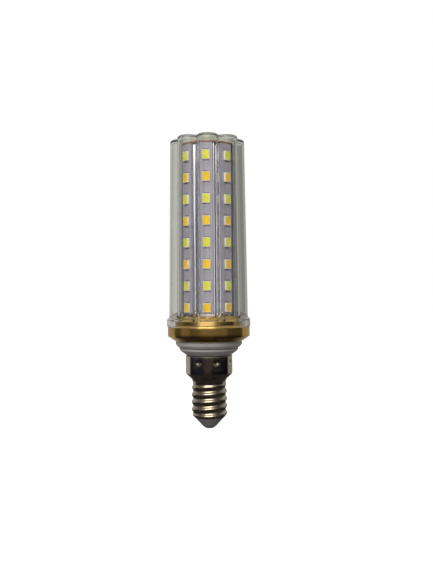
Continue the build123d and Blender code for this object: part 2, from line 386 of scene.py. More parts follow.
# (radius, z) in millimetres, from the shelf's corner down to the flange's foot
OUTER_FLANGE = ((15.45, 43.0), (15.8, 42.93), (16.05, 42.75), (16.2, 42.45))
OUTER_FLANGE += ((16.25, 42.1), (16.25, 40.1), (16.15, 39.75), (15.9, 39.55))
INNER_FLANGE = ((14.35, 42.6), (14.7, 42.35), (14.9, 41.9), (14.95, 41.4), (14.95, 40.0))


def clear_polycarbonate(settings):
    """Injection-moulded polycarbonate, polished: sharp reflections and a faint ripple of flow."""
    # A thin moulding shows less bending than solid plastic of 1.58
    values = {"Base Color": settings.tint, "IOR": 1.42, "Transmission Weight": 1.0}
    finish = Finish("clear_polycarbonate", **values)
    tree = finish.tree
    # Polished sides; the closed end came out of the mould a little dull
    height = split(tree, place_on(tree))[2]
    finish.feed("Roughness", spread(tree, height, DULL_FROM, DULL_TO, 0.02, 0.3))
    # Flow ripples about 6 mm apart across the lobes and 40 mm along them
    finish.relief(finish.grain(6.0, 1.0, (1, 1, 0.15)), 0.05, 0.2)
    # Lamp rays pass straight to the core
    through = add_node(tree, "ShaderNodeBsdfTransparent", {"Color": (0.93, 0.93, 0.93, 1)})
    shadow = add_node(tree, "ShaderNodeLightPath").outputs["Is Shadow Ray"]
    shaders = {0: shadow, 1: finish.shader.outputs[0], 2: through.outputs[0]}
    mixed = add_node(tree, "ShaderNodeMixShader", shaders)
    tree.links.new(mixed.outputs[0], finish.output.inputs["Surface"])
    return finish.material


def lobed_outline(settings, z, inset):
    """The cover's outline at a height: eight lobes with a round valley between each two."""
    lean = (z - LOBE_FOOT) * tan(settings.draft)
    centre = settings.lobe_peak - settings.lobe_radius - lean
    share = min(max((z - LOBE_FOOT) / LOBE_RISE, 0), 1)
    valley = settings.valley_foot + (settings.valley_top - settings.valley_foot) * share
    half = SECTOR / 2
    reach = settings.lobe_radius + valley
    axis = centre * cos(half) + sqrt(reach**2 - (centre * sin(half)) ** 2)
    fillet = Vector((axis * cos(half), axis * sin(half)))
    meet = atan2(fillet.y, fillet.x - centre)
    side = []
    radius = settings.lobe_radius - inset
    for k in range(LOBE_STEPS + 1):
        angle = meet * k / LOBE_STEPS
        side.append((centre + radius * cos(angle), radius * sin(angle)))
    first, last = meet + pi, half + pi
    radius = valley + inset
    for k in range(1, VALLEY_STEPS + 1):
        angle = first + (last - first) * k / VALLEY_STEPS
        side.append((fillet.x + radius * cos(angle), fillet.y + radius * sin(angle)))
    sector = [(x, -y) for x, y in reversed(side[1:-1])] + side
    return np.array([p for k in range(LOBES) for p in swung(sector, settings.turn + k * SECTOR)])


def cover_rows(settings, inset, top, edge, flange):
    """Rows from the pole of the top down one side of the wall to the flange's foot."""
    rows = [[(0.0, 0.0, top)]]
    crown = lobed_outline(settings, top, inset)
    for share in CROWN_SHARES:
        rows.append(at_height(crown * share * (1 - edge / CROWN_REACH), top))
    for k in range(EDGE_STEPS + 1):
        angle = pi / 2 * k / EDGE_STEPS
        out = edge * (1 - sin(angle))
        z = top - edge * (1 - cos(angle))
        rows.append(at_height(lobed_outline(settings, z, inset + out), z))
    for z in np.linspace(top - edge - 2 * MM, WALL_ENDS, WALL_ROWS):
        rows.append(at_height(lobed_outline(settings, z, inset), z))
    # Where the wall runs out over the sloping shelf, each point meets it at a height of its own
    corner, low = (size * MM for size in flange[0])
    wall_foot = lobed_outline(settings, SHELF_MEETS, inset)
    radius = np.linalg.norm(wall_foot, axis=1)
    meet = np.clip(low + SHELF_SLOPE * (corner - radius), low + LEAST_RISE, None)
    way = wall_foot / radius[:, None]
    for k in range(BLEND_STEPS + 1):
        t = k / BLEND_STEPS
        z = meet + SHELF_BLEND * (1 - t) ** 2
        out = np.minimum(SHELF_BLEND * t**2, np.maximum(corner - radius, 0) * t)
        z = z - np.minimum(SHELF_SLOPE * out, z - low)
        rows.append(at_height(wall_foot + way * out[:, None], z))
    for r, z in flange:
        rows.append(at_height(way * (r * MM), z * MM))
    rows.append(at_height(way * (flange[-1][0] * MM), COVER_LOW.z))
    return rows


def clear_cover(settings):
    """The moulded cover: lobes, round valleys, shelf and flange, with an even wall inside."""
    top = COVER_HIGH.z
    outside = cover_rows(settings, 0.0, top, settings.edge, OUTER_FLANGE)
    inside = cover_rows(settings, settings.wall, top - ROOF, settings.edge * 0.6, INNER_FLANGE)
    points, faces = skin(outside + inside[::-1])
    obj = piece("cover", points, faces, clear_polycarbonate(settings), 50)
    return settle(obj, "clear_plastic", "clear_cover")


class BULB_OT_cover(bpy.types.Operator):
    """Builds the clear cover."""

    bl_idname = "bulb.cover"
    bl_label = "Clear cover"

    def execute(self, context):
        clear_cover(context.scene.bulb.cover)
        return {"FINISHED"}


# Collar and neck

# Corners as (radius, z, round) in millimetres, up the outside and back down the inside
COLLAR = ((12.4, 34.1, 0), (13.4, 34.1, 0.12), (16.0, 35.9, 0.3), (16.0, 39.5, 0.15))
COLLAR += ((14.85, 39.5, 0.05), (14.85, 40.3, 0.38), (13.2, 40.3, 0.3), (13.2, 41.9, 0.75))
COLLAR += ((12.2, 43.2, 0.75), (5.5, 43.2, 0.1), (5.5, 41.4, 0.1), (12.4, 41.4, 0.1))
# The same down the outside, past band, groove and slit, and back up the inside
NECK = ((12.35, 34.1, 0), (12.95, 34.1, 0.1), (12.95, 32.9, 0.6), (12.7, 32.35, 0.5))
NECK += ((11.95, 31.6, 0.1), (11.2, 31.5, 0.1), (11.2, 31.2, 0.1), (11.55, 31.1, 0.06))
NECK += ((11.4, 30.5, 0.3), (10.5, 29.7, 0.5), (9.6, 29.1, 0.3), (9.3, 28.8, 0.15))
NECK += ((8.0, 28.8, 0.05), (8.0, 27.9, 0.05), (8.7, 27.9, 0.05), (8.7, 22.6, 0.2))
NECK += ((5.695, 19.5, 0.2), (5.695, 9.0, 0.1), (4.495, 9.0, 0.1), (4.495, 22.0, 0.1))
NECK += ((7.2, 22.0, 0.1), (7.2, 29.4, 0.3), (10.85, 32.8, 0.3), (10.85, 38.0, 0.1))
NECK += ((12.35, 38.0, 0.1),)


def gold_anodised_aluminium(colour):
    """Turned aluminium, gold anodised: a satin sheen with the tool's fine rings."""
    finish = Finish("gold_anodised_aluminium", Metallic=1.0, Anisotropic=0.3)
    finish.colour(finish.grain(3.0, 4.0), 0.35, 0.7, colour, tinted(colour, 0.9))
    # Tool rings are 0.08 mm apart and drawn at 0.3 mm so that they show
    rings = finish.grain(0.3, 2.0, (0.02, 0.02, 1))
    finish.roughness(rings, 0.09, 0.16)
    finish.relief(rings, 0.006, 0.3)
    return finish.material


def moulded_pbt(colour):
    """White PBT from a spark-eroded mould: soft gloss and a fine pimpled skin."""
    finish = Finish("moulded_pbt", IOR=1.5)
    finish.colour(finish.grain(7.0), 0.35, 0.7, colour, tinted(colour, 0.9))
    # Erosion pits are about 0.25 mm across
    pits = finish.grain(0.25, 2.0)
    finish.roughness(pits, 0.26, 0.4)
    finish.relief(pits, 0.012, 0.6)
    return finish.material


class BULB_OT_collar(bpy.types.Operator):
    """Builds the gold collar."""

    bl_idname = "bulb.collar"
    bl_label = "Collar"

    def execute(self, context):
        gold = gold_anodised_aluminium(context.scene.bulb.metal.gold)
        settle(turned("collar_ring", rounded(COLLAR), gold, 192), "gold_aluminium", "collar")
        return {"FINISHED"}


class BULB_OT_neck(bpy.types.Operator):
    """Builds the white neck housing."""

    bl_idname = "bulb.neck"
    bl_label = "Neck housing"

    def execute(self, context):
        white = moulded_pbt(context.scene.bulb.metal.neck)
        settle(turned("neck_bowl", rounded(NECK), white, 144), "white_plastic", "neck_housing")
        return {"FINISHED"}


# Screw cap

# The shell in millimetres. Its curled foot as (radius, height above the foot)
CURL = ((5.75, 0.0), (5.95, 0.03), (6.1, 0.16))
# The thread: its rows, its first crest, and the lengths over which it starts, fades and ends
THREAD_START, THREAD_TOP, THREAD_END, THREAD_ROWS = 0.34, 17.6, 17.75, 104
FIRST_CREST = 2.40
STARTS_OVER, FADES_OVER, ENDS_OVER = 1.1, 4.5, 0.8
FADED = 0.75
# The shoulder's two arcs and the slope between them
HOLLOW, BEND, SHOULDER_ANGLE, ARC_STEPS = 2.6, 1.5, radians(50), 8
# The crimps, punched with a flat-nosed tool: a higher power has a flatter floor
CRIMPS_FROM, CRIMP_HEIGHT, CRIMP_ROWS = 23.0, 26.1, 34
CRIMP_RADIUS, CRIMP_FALL, CRIMP_POWER = 0.95, 1.35, 2.6
FIRST_CRIMP = radians(19 - 90)
# The skirt's edge as (radius, height) from its corner
RIM = ((0.0, -0.03), (-0.01, -0.008), (-0.03, 0.0))
# Corners of the insulator as (radius, z, round) and of the contact as (radius, z)
CONE = ((0.9, 0.6, 0), (2.1, 0.6, 0.05), (2.6, 0.75, 0.3), (5.1, 3.5, 0.8), (5.85, 4.3, 0.1))
CONE += ((5.695, 4.35, 0), (5.695, 6.0, 0.1), (0.9, 6.0, 0))
BUTTON = ((0, 0), (0.9, 0), (1.5, 0.06), (1.85, 0.2), (2.05, 0.4), (2.1, 0.6), (0.9, 0.6))
BUTTON += ((0.9, 6.5), (0, 6.5))


def nickel_plated_brass(colour):
    """Rolled brass sheet, bright nickel plated: near a mirror, with draw lines and tarnish."""
    finish = Finish("nickel_plated_brass", Metallic=1.0)
    tree = finish.tree
    tarnish = finish.grain(2.5, 5.0, roughness=0.6)
    finish.colour(tarnish, 0.45, 0.75, colour, tinted(colour, (0.86, 0.8, 0.7)))
    # The skirt keeps its mirror polish, and rolling dulls the thread
    height = split(tree, place_on(tree))[2]
    rolled = spread(tree, height, 17.0 * MM, 19.0 * MM, 0.1, 0.0)
    worn = spread(tree, tarnish, 0.3, 0.75, 0.08, 0.2)
    finish.feed("Roughness", calculate(tree, "ADD", worn, rolled))
    # Draw lines run along the sheet, 0.2 mm apart
    finish.relief(finish.grain(0.2, 2.0, (1, 1, 0.06)), 0.004, 0.5)
    return finish.material


def moulded_phenolic(colour):
    """Moulded insulator: a dull, faintly speckled skin."""
    finish = Finish("moulded_phenolic", Roughness=0.42, IOR=1.55)
    speckle = finish.grain(0.5, 4.0)
    finish.colour(speckle, 0.5, 0.75, colour, tinted(colour, 1.7))
    finish.relief(speckle, 0.02, 0.5)
    return finish.material


def tinned_brass(colour, name="tinned_brass"):
    """Hot-tinned brass: a soft, slightly uneven shine."""
    finish = Finish(name, **{"Metallic": 1.0, "Base Color": colour})
    flow = finish.grain(0.8)
    finish.roughness(flow, 0.22, 0.42)
    finish.relief(flow, 0.03, 0.5)
    return finish.material


def shoulder(foot_radius, skirt):
    """(radius, z) from above the thread out to the skirt: hollow, slope and round."""
    across, up = cos(SHOULDER_ANGLE), sin(SHOULDER_ANGLE)
    out = []
    for k in range(ARC_STEPS + 1):
        a = SHOULDER_ANGLE * k / ARC_STEPS
        out.append((foot_radius + HOLLOW * (1 - cos(a)), THREAD_END + HOLLOW * sin(a)))
    run = skirt - foot_radius - (HOLLOW + BEND) * (1 - across)
    x, z = out[-1][0] + run, out[-1][1] + run / tan(SHOULDER_ANGLE)
    for k in range(ARC_STEPS + 1):
        a = SHOULDER_ANGLE * (1 - k / ARC_STEPS)
        out.append((x + BEND * (cos(a) - across), z + BEND * (up - sin(a))))
    return out


def ease(t):
    """0 to 1, smoothly."""
    t = min(max(t, 0), 1)
    return t * t * (3 - 2 * t)


def shell_rows(settings, segments=192):
    """Outer rows of the rolled shell from its foot to the skirt's edge: (radii, height)."""
    sizes = (settings.pitch, settings.crest, settings.root, settings.shoulder)
    pitch, crest, root, above = (size / MM for size in sizes)
    middle = (crest + root) / 2
    skirt, top, foot = CAP_HIGH.x / MM, CAP_HIGH.z / MM, CAP_LOW.z / MM
    angles = np.arange(segments) * 2 * pi / segments
    crest_at_zero = FIRST_CREST + 0.25 * pitch
    rows = [(r, foot + z) for r, z in CURL]
    curl = CURL[-1][0]
    for z in np.linspace(foot + THREAD_START, THREAD_TOP, THREAD_ROWS):
        phase = (z - crest_at_zero) / pitch - angles / (2 * pi)
        # The thread starts within a millimetre of the foot and loses height over its last turns
        low, left = ease((z - foot) / STARTS_OVER), THREAD_END - z
        high, end = ease(left / FADES_OVER), ease(left / ENDS_OVER)
        mean = curl + (middle - curl) * low + (above - middle) * (1 - high)
        height = (crest - root) / 2 * low * end * (FADED + (1 - FADED) * high)
        rows.append((mean + height * np.cos(2 * pi * phase), z))
    rows += shoulder(above, skirt)
    spacing = 2 * pi / settings.crimps
    away = ((angles - FIRST_CRIMP + spacing / 2) % spacing - spacing / 2) * skirt
    for z in np.linspace(CRIMPS_FROM, top - 0.25, CRIMP_ROWS):
        far = np.sqrt(away**2 + (z - CRIMP_HEIGHT) ** 2) / CRIMP_RADIUS
        dent = settings.crimp_depth / MM * np.exp(-((far * CRIMP_FALL) ** CRIMP_POWER))
        rows.append((skirt - dent, z))
    rows += [(skirt + r, top + z) for r, z in RIM]
    return angles, rows


def screw_shell(settings):
    """The shell as rolled sheet: the thread shows inside as well as outside."""
    angles, rows = shell_rows(settings)
    wall = settings.wall / MM
    way = np.column_stack([np.cos(angles), np.sin(angles)])

    def sheet(radii, z):
        return at_height(way * np.broadcast_to(radii, len(angles))[:, None], z) * MM

    outer = [sheet(r, z) for r, z in rows]
    inner = [sheet(r - wall, z) for r, z in rows[2:-2]]
    points, faces = skin(outer + inner[::-1], loop=True)
    obj = piece("thread_shell", points, faces, nickel_plated_brass(settings.nickel), 60)
    return settle(obj, "nickel_plate", "screw_shell")


class BULB_OT_cap(bpy.types.Operator):
    """Builds the screw cap: threaded shell, insulator and contact."""

    bl_idname = "bulb.cap"
    bl_label = "Screw cap"

    def execute(self, context):
        settings = context.scene.bulb.metal
        screw_shell(settings)
        dark = moulded_phenolic(settings.insulator)
        cone = turned("insulator_cone", rounded(CONE, 4), dark, 96)
        settle(cone, "dark_insulator", "cap_insulator")
        button = turned("contact_button", BUTTON, tinned_brass(settings.contact), 64, loop=False)
        settle(button, "tinned_contact", "centre_contact")
        return {"FINISHED"}


# Column, strips and LEDs

# All in millimetres. One side of the column as (out, across): rail, channel, rail and bevel
SIDE = ((10.0, -3.0), (10.0, -2.62), (9.75, -2.6), (9.75, 2.6))
SIDE += ((10.0, 2.62), (10.0, 3.0), (9.75, 3.2), (9.42, 3.42))
GROOVE, BORE = 9.65, 6.3
# Half of a board's section as (out, width)
BOARD = ((0.0, 5.0), (0.06, 5.1), (0.92, 5.1), (1.0, 4.96))
BOARD_THICKNESS = 1.0
# Rounded rectangles as (out, wide, high, corner): the frame with its window, and its filling
PACKAGE = ((0.0, 0, 0, 0), (0.0, 2.7, 3.4, 0.1), (0.08, 2.8, 3.5, 0.15), (0.69, 2.8, 3.5, 0.15))
PACKAGE += ((0.75, 2.7, 3.4, 0.18), (0.75, 2.52, 3.16, 0.35), (0.55, 2.2, 2.85, 0.35))
PACKAGE += ((0.55, 0, 0, 0),)
FILLING = ((0.56, 0, 0, 0), (0.56, 2.2, 2.85, 0.34), (0.72, 2.46, 3.1, 0.34))
FILLING += ((0.745, 2.42, 3.06, 0.34), (0.72, 2.1, 2.75, 0.3), (0.705, 0, 0, 0))
# Solder as (out, along) from the frame's end, with (across, size) along its length
FILLET = ((0.0, 0.0), (0.0, 0.62), (0.05, 0.6), (0.12, 0.34), (0.3, 0.12), (0.42, 0.0))
FILLET_ROWS = ((-0.95, 0.8), (-0.85, 1.0), (0.85, 1.0), (0.95, 0.8))
FRAME_END = 1.72
TOP_RING = 6.4


def extruded_aluminium(colour):
    """Extruded aluminium as it left the die: bright, with long die lines."""
    finish = Finish("extruded_aluminium", Metallic=1.0)
    # Die lines run along the column, 0.25 mm apart
    lines = finish.grain(0.25, 2.0, (1, 1, 0.012))
    finish.colour(lines, 0.35, 0.7, colour, tinted(colour, 0.72))
    finish.roughness(lines, 0.14, 0.28)
    finish.relief(lines, 0.01, 0.6)
    return finish.material


def printed_mask(colour):
    """Solder mask on an aluminium board: satin, the copper tracks just proud of it."""
    finish = Finish("printed_mask", Roughness=0.34, IOR=1.5)
    tree = finish.tree
    across = add_node(tree, "ShaderNodeUVMap", uv_map="board").outputs[0]
    # Tracks run along both edges of the board, 0.5 mm wide
    side = calculate(tree, "ABSOLUTE", split(tree, across)[0])
    inner = spread(tree, side, 1.6 * MM, 1.65 * MM)
    outer = spread(tree, side, 2.1 * MM, 2.15 * MM, 1.0, 0.0)
    tracks = calculate(tree, "MULTIPLY", inner, outer)
    # Screen lines across the print are 0.2 mm apart and drawn at 0.45 mm so that they show
    weave = finish.grain(0.45, 2.0, (0.1, 0.1, 1))
    ground = finish.mix(weave, 0.35, 0.65, colour, tinted(colour, 0.88))
    finish.feed("Base Color", blend(tree, tracks, ground, tinted(colour, 1.18)))
    finish.relief(weave, 0.01, 0.35, bump(tree, tracks, 0.035, 0.8))
    return finish.material


def moulded_led_frame(colour):
    """White moulded LED frame: matt and even, a little yellowed in its corners."""
    finish = Finish("moulded_led_frame", Roughness=0.5, IOR=1.5)
    cloud = finish.grain(0.9)
    finish.colour(cloud, 0.4, 0.7, colour, tinted(colour, (0.95, 0.93, 0.84)))
    finish.relief(cloud, 0.01, 0.4)
    return finish.material


def silicone_phosphor(name, colour):
    """Silicone filled with phosphor powder: soft gloss, grainy, paler where the chip lies."""
    finish = Finish(name, **{"Roughness": 0.4, "IOR": 1.45, "Specular IOR Level": 0.2})
    powder = finish.grain(0.22)
    ground = finish.mix(powder, 0.35, 0.7, colour, tinted(colour, (0.84, 0.78, 0.55)))
    finish.colour(finish.grain(1.3, 2.0), 0.5, 0.75, ground, tinted(colour, 1.06, 0.01))
    finish.relief(powder, 0.015, 0.5)
    return finish.material


def placing_tree():
    """Geometry Nodes: a piece repeated round the axis and up it, with small errors of placing."""
    tree = bpy.data.node_groups.new("placed_round_the_column", "GeometryNodeTree")
    maths, node = partial(calculate, tree), partial(add_node, tree)
    times, plus = partial(maths, "MULTIPLY"), partial(maths, "ADD")
    face = tree.interface
    face.new_socket(name="Geometry", in_out="INPUT", socket_type="NodeSocketGeometry")
    face.new_socket(name="Geometry", in_out="OUTPUT", socket_type="NodeSocketGeometry")
    places = ("Faces", "First Face", "Face Step", "Places", "First Place", "Place Step", "Seed")
    kinds = {
        "Object": ("Piece",),
        "Material": ("Material",),
        "Int": places,
        "Float": ("Pitch", "Lowest", "Radius", "Turn", "Wobble"),
    }
    for kind, names in kinds.items():
        for name in names:
            face.new_socket(name=name, in_out="INPUT", socket_type="NodeSocket" + kind)
    given = node("NodeGroupInput").outputs
    index = node("GeometryNodeInputIndex").outputs[0]
    count = times(given["Faces"], given["Places"])
    nth_face = maths("FLOOR", maths("DIVIDE", plus(index, 0.5), given["Places"]))
    nth_face = plus(given["First Face"], times(nth_face, given["Face Step"]))
    nth_place = times(maths("MODULO", index, given["Places"]), given["Place Step"])
    nth_place = plus(given["First Place"], nth_place)
    angle = plus(given["Turn"], times(nth_face, SECTOR))
    x = times(maths("COSINE", angle), given["Radius"])
    y = times(maths("SINE", angle), given["Radius"])
    z = plus(given["Lowest"], times(nth_place, given["Pitch"]))
    where = node("ShaderNodeCombineXYZ", {0: x, 1: y, 2: z}).outputs[0]
    dots = node("GeometryNodePoints", {"Count": count, "Position": where}).outputs[0]
    # A number of its own for each place, so that each LED keeps its error in every piece of it
    number = plus(times(nth_face, 64.0), nth_place)
    most = given["Wobble"]
    limits = {2: times(most, -1.0), 3: most, "ID": number, "Seed": given["Seed"]}
    askew = node("FunctionNodeRandomValue", limits, data_type="FLOAT").outputs[1]
    turn = node("ShaderNodeCombineXYZ", {0: askew, 1: 0.0, 2: angle}).outputs[0]
    source = node("GeometryNodeObjectInfo", {"Object": given["Piece"]})
    copies = {"Points": dots, "Instance": source.outputs["Geometry"], "Rotation": turn}
    copies = node("GeometryNodeInstanceOnPoints", copies).outputs[0]
    real = node("GeometryNodeRealizeInstances", {0: copies}).outputs[0]
    coated = {"Geometry": real, "Material": given["Material"]}
    done = node("GeometryNodeSetMaterial", coated)
    node("NodeGroupOutput", {0: done.outputs[0]})
    return tree


def placed(name, source, material, **values):
    """A plain mesh of the source repeated by the placing tree."""
    tree = bpy.data.node_groups.get("placed_round_the_column") or placing_tree()
    carrier = linked(name + "_carrier", bpy.data.meshes.new(name + "_carrier"))
    modifier = carrier.modifiers.new("places", "NODES")
    modifier.node_group = tree
    given = {"Piece": source, "Material": material, "Faces": LOBES, "Places": 1}
    given = {**given, "Face Step": 1, "Place Step": 1, **values}
    for item in tree.interface.items_tree:
        if item.in_out == "INPUT" and item.name in given:
            modifier[item.identifier] = given[item.name]
    mesh = applied(carrier)
    mesh.name = name
    bpy.data.objects.remove(carrier)
    bpy.data.objects.remove(source)
    return linked(name, mesh)


def applied(obj):
    """The object's mesh as its modifiers leave it."""
    bpy.context.view_layer.update()
    depsgraph = bpy.context.evaluated_depsgraph_get()
    return bpy.data.meshes.new_from_object(obj.evaluated_get(depsgraph))


def rounded_rectangle(wide, high, corner, steps=3):
    """A closed outline in the plane that a piece turns to the outside: (across, up)."""
    out = []
    for k, (sx, sy) in enumerate(((1, 1), (-1, 1), (-1, -1), (1, -1))):
        x, y = sx * (wide / 2 - corner), sy * (high / 2 - corner)
        for s in range(steps + 1):
            a = pi / 2 * (k + s / steps)
            out.append((x + corner * cos(a), y + corner * sin(a)))
    return out


def plate(name, levels, material, smooth_angle):
    """A piece built outwards along x from rounded rectangles; one of no width is a pole."""
    rows = []
    for out, wide, high, corner in levels:
        outline = rounded_rectangle(wide, high, corner) if wide else [(0.0, 0.0)]
        rows.append([(out * MM, y * MM, z * MM) for y, z in outline])
    points, faces = skin(rows)
    return piece(name, points, faces, material, smooth_angle)


def package_shape(material):
    """LED frame: a bevelled body with a window whose walls slope in."""
    return plate("package_source", PACKAGE, material, 30)


def phosphor_shape(material):
    """The filling of the window, with a shallow meniscus at its rim."""
    return plate("phosphor_source", FILLING, material, 60)


def solder_shape(material):
    """Solder fillets that climb the two ends of the frame from their pads."""
    points, faces = [], []
    n, last = len(FILLET), len(FILLET_ROWS) - 1
    for end in (1, -1):
        start = len(points)
        for y, size in FILLET_ROWS:
            for x, z in FILLET:
                points.append((x * size * MM, y * MM, end * (FRAME_END + z * size) * MM))
        for row in range(last):
            for k in range(n):
                a = start + row * n + k
                b = start + row * n + (k + 1) % n
                faces.append((a, b, b + n, a + n))
        faces += [tuple(start + row * n + k for k in range(n)) for row in (0, last)]
    return piece("solder_source", points, faces, material, 40)


def strip_shape(material, low, high):
    """One board: bevelled long edges, with its width and height kept as a UV map in metres."""
    middle = (low + high) / 2
    section = [(x, -w / 2) for x, w in BOARD] + [(x, w / 2) for x, w in reversed(BOARD)]
    n = len(section)
    points = [(x * MM, y * MM, z - middle) for z in (low, high) for x, y in section]
    faces = [(k, (k + 1) % n, (k + 1) % n + n, k + n) for k in range(n)]
    faces += [tuple(range(n)), tuple(range(n, 2 * n))]
    obj = piece("strip_source", points, faces, material, 30)
    board = obj.data.uv_layers.new(name="board")
    for corner in obj.data.loops:
        place = obj.data.vertices[corner.vertex_index].co
        board.data[corner.index].uv = (place.y, place.z)
    return obj


def column_shape(settings, material):
    """The extruded column: a channel for each strip between rails, and a groove at each corner."""
    half = SECTOR / 2
    side = [*SIDE, (GROOVE * cos(half), GROOVE * sin(half))]
    outline = [p for k in range(LOBES) for p in swung(side, settings.turn + k * SECTOR)]
    around = [atan2(y, x) for x, y in outline]
    bore = [(BORE * cos(a), BORE * sin(a)) for a in around]
    low, high = CORE_LOW.z, CORE_HIGH.z
    ends = ((outline, low), (outline, high), (bore, high), (bore, low))
    rows = [[(x * MM, y * MM, z) for x, y in points] for points, z in ends]
    points, faces = skin(rows, loop=True)
    obj = piece("column", points, faces, material)
    edge = obj.modifiers.new("edges", "BEVEL")
    edge.width = 0.06 * MM
    edge.segments = 2
    edge.limit_method = "ANGLE"
    edge.angle_limit = radians(25)
    mesh = applied(obj)
    obj.modifiers.clear()
    obj.data = mesh
    mesh.shade_smooth()
    mesh.set_sharp_from_angle(angle=radians(35))
    return obj


def numbered(stem):
    return [f"{stem}_{k + 1}" for k in range(LOBES)]


class BULB_OT_core(bpy.types.Operator):
    """Builds the column and the strips on it."""

    bl_idname = "bulb.core"
    bl_label = "Column and strips"

    def execute(self, context):
        settings = context.scene.bulb.core
        column = column_shape(settings, extruded_aluminium(settings.aluminium))
        settle(column, "column_aluminium", "led_column")
        mask = printed_mask(settings.mask)
        low, high = (corner.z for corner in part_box("strip_board_1"))
        foot = settings.face - BOARD_THICKNESS * MM
        where = {"Lowest": (low + high) / 2, "Radius": foot, "Turn": settings.turn}
        strips = placed("strips", strip_shape(mask, low, high), mask, **where)
        settle(strips, "strip_mask", *numbered("strip_board"))
        return {"FINISHED"}


class BULB_OT_leds(bpy.types.Operator):
    """Builds the LEDs on the strips and on the top board."""

    bl_idname = "bulb.leds"
    bl_label = "LEDs"

    def execute(self, context):
        core = context.scene.bulb.core
        white = moulded_led_frame(core.frame)
        cool = silicone_phosphor("cool_phosphor", core.cool)
        warm = silicone_phosphor("warm_phosphor", core.warm)
        solder = tinned_brass(from_hex("8E8B86"), "bright_solder")
        up = {"Pitch": core.pitch, "Lowest": core.lowest, "Radius": core.face, "Turn": core.turn}
        up = {**up, "Wobble": core.wobble, "Seed": core.seed}
        # The same LEDs lie in a ring on the top board, so there each is laid over to face upwards
        over = Matrix.Rotation(-pi / 2, 4, "Y")
        flat = {"Lowest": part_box("top_board")[1].z, "Radius": TOP_RING * MM, "Turn": core.turn}
        # Shape, material, slot and node; every how many places, and the first on a strip and on top
        frames = package_shape, white, "package_white", "led_packages", 1, 0, 0
        cools = phosphor_shape, cool, "cool_phosphor", "cool_phosphor", 2, 1, 0
        warms = phosphor_shape, warm, "warm_phosphor", "warm_phosphor", 2, 0, 1
        solders = solder_shape, solder, "tinned_contact", None, 1, 0, 0
        kinds = {"frames": frames, "cool_windows": cools, "warm_windows": warms, "solder": solders}
        strip_names = "led_frames", "cool_windows", "warm_windows", "solder_fillets"
        for name, kind in zip(strip_names, kinds.values()):
            shape, material, slot, node, step, first, _ = kind
            steps = {"Places": core.per_strip // step, "First Place": first, "Place Step": step}
            obj = placed(name, shape(material), material, **up, **steps)
            settle(obj, slot, *(numbered(node) if node else ()))
        for name, (shape, material, slot, node, step, _, first) in kinds.items():
            source = shape(material)
            source.data.transform(over)
            steps = {"Faces": LOBES // step, "First Face": first, "Face Step": step}
            obj = placed("top_" + name, source, material, **flat, **steps)
            settle(obj, slot, *(["top_" + node] if node else ()))
        return {"FINISHED"}


# Boards and driver parts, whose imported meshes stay


def glass_epoxy_laminate(colour):
    """Glass cloth in epoxy under a lacquer: the weave shows faintly."""
    finish = Finish("glass_epoxy_laminate", Roughness=0.4, IOR=1.5)
    tree = finish.tree
    thread, gap = 0.5 * MM, 0.04 * MM
    bricks = {"Scale": 1.0, "Mortar Size": gap, "Brick Width": thread, "Row Height": thread}
    weave = add_node(tree, "ShaderNodeTexBrick", {0: place_on(tree), **bricks}).outputs[1]
    cloud, dark = finish.grain(2.0), tinted(colour, 0.8)
    ground = finish.mix(cloud, 0.35, 0.7, colour, dark)
    share = spread(tree, weave, 0, 1, 0, 0.35)
    finish.feed("Base Color", blend(tree, share, ground, dark))
    finish.relief(cloud, 0.01, 0.4)
    return finish.material


def lacquered_paper_board(lacquer, edge, top):
    """White lacquer on phenolic paper board: the lacquer ends at the sawn brown edge."""
    finish = Finish("white_lacquered_paper_board", Roughness=0.38, IOR=1.5)
    fibres = finish.grain(0.4, 4.0, (1, 1, 0.2))
    sawn = finish.mix(fibres, 0.35, 0.7, edge, tinted(edge, 0.6))
    coat = finish.mix(finish.grain(2.0), 0.35, 0.7, lacquer, tinted(lacquer, 0.85))
    height = split(finish.tree, place_on(finish.tree))[2]
    finish.colour(height, top - 0.06 * MM, top - 0.03 * MM, sawn, coat)
    finish.relief(fibres, 0.02, 0.4)
    return finish.material


def sleeve(name, code, roughness, size_mm):
    """A thin coat or sleeve: even colour with small scuffs and a shallow orange peel."""
    finish, colour = Finish(name, IOR=1.5), from_hex(code)
    scuffs = finish.grain(size_mm, 4.0)
    finish.colour(scuffs, 0.5, 0.8, colour, tinted(colour, 1.35, 0.01))
    finish.roughness(scuffs, roughness * 0.8, roughness * 1.2)
    finish.relief(scuffs, 0.02, 0.4)
    return finish.material


class BULB_OT_boards(bpy.types.Operator):
    """Gives the top board, the driver board and the driver's parts their finishes."""

    bl_idname = "bulb.boards"
    bl_label = "Boards and driver"

    def execute(self, context):
        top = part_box("top_board")[1].z
        board = lacquered_paper_board(from_hex("C6C4CC"), from_hex("8A6A4E"), top)
        finishes = {"top_board": board, "driver_board": glass_epoxy_laminate(from_hex("2E6B3C"))}
        for nodes, *coat in (
            ("bulk_capacitor output_capacitor inductor", "shrink_sleeve", "1F2023", 0.35, 1.0),
            ("bridge_rectifier driver_chip", "moulded_epoxy", "26282B", 0.55, 0.3),
            ("fuse_resistor", "resistor_lacquer", "4F8F6B", 0.4, 0.6),
            ("neutral_lead output_leads", "wire_sleeve", "B0302A", 0.45, 0.8),
        ):
            finishes.update(dict.fromkeys(nodes.split(), sleeve(*coat)))
        for node, material in finishes.items():
            frame["nodes"][node].data.materials[0] = material
        return {"FINISHED"}


# Stage

